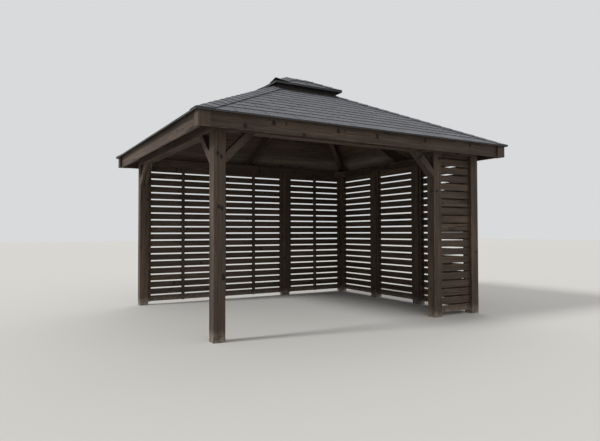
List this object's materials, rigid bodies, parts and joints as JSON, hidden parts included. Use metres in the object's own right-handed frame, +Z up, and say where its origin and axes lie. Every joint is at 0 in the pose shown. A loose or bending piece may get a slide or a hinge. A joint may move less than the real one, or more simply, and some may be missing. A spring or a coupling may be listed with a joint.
{
  "type": "garden gazebo",
  "caption": "Rectangular timber garden gazebo with square posts, knee braces, slatted panels on the back and right side, and a hipped shingle roof with a small raised cap.",
  "frame": {"origin": "middle of the footprint on the ground, at the feet of the posts", "axes": "+X to the right along the front, +Y from the front to the back, +Z up; the front with the wide entrance faces -Y"},
  "size_m": [4.13, 3.57, 3.1485],
  "materials": {
    "frame_timber": "planed softwood with a dark brown stain",
    "panel_timber": "planed softwood slats with a dark brown stain",
    "roof_timber": "softwood roof boards with a dark brown stain",
    "trim_timber": "planed softwood boards with a dark brown stain",
    "shingles": "bitumen felt shingles with grey mineral granules"
  },
  "bodies": {
    "root": {"post_front_left": "frame_timber", "post_front_return": "frame_timber", "post_front_right": "frame_timber", "post_back_left": "frame_timber", "post_back_1": "frame_timber", "post_back_2": "frame_timber", "post_back_right": "frame_timber", "post_right_1": "frame_timber", "post_right_2": "frame_timber", "plate_front": "frame_timber", "plate_back": "frame_timber", "plate_left": "frame_timber", "plate_right": "frame_timber", "corner_blocks": "frame_timber", "knee_braces": "frame_timber", "panel_back_1": "panel_timber", "panel_back_2": "panel_timber", "panel_back_3": "panel_timber", "panel_right_1": "panel_timber", "panel_right_2": "panel_timber", "panel_right_3": "panel_timber", "panel_front_return": "panel_timber", "ridge_hubs": "frame_timber", "ridge_board": "frame_timber", "common_rafters": "frame_timber", "hip_rafters": "frame_timber", "roof_boards_front": "roof_timber", "roof_boards_right": "roof_timber", "roof_boards_back": "roof_timber", "roof_boards_left": "roof_timber", "fascia_front": "trim_timber", "fascia_back": "trim_timber", "fascia_left": "trim_timber", "fascia_right": "trim_timber", "corner_trims": "trim_timber", "shingles_front": "shingles", "shingles_right": "shingles", "shingles_back": "shingles", "shingles_left": "shingles", "hip_strips": "shingles", "neck_long_boards": "trim_timber", "neck_end_boards": "trim_timber", "cap_boards": "roof_timber", "cap_shingles": "shingles", "cap_strips": "shingles"}
  },
  "joints": []
}
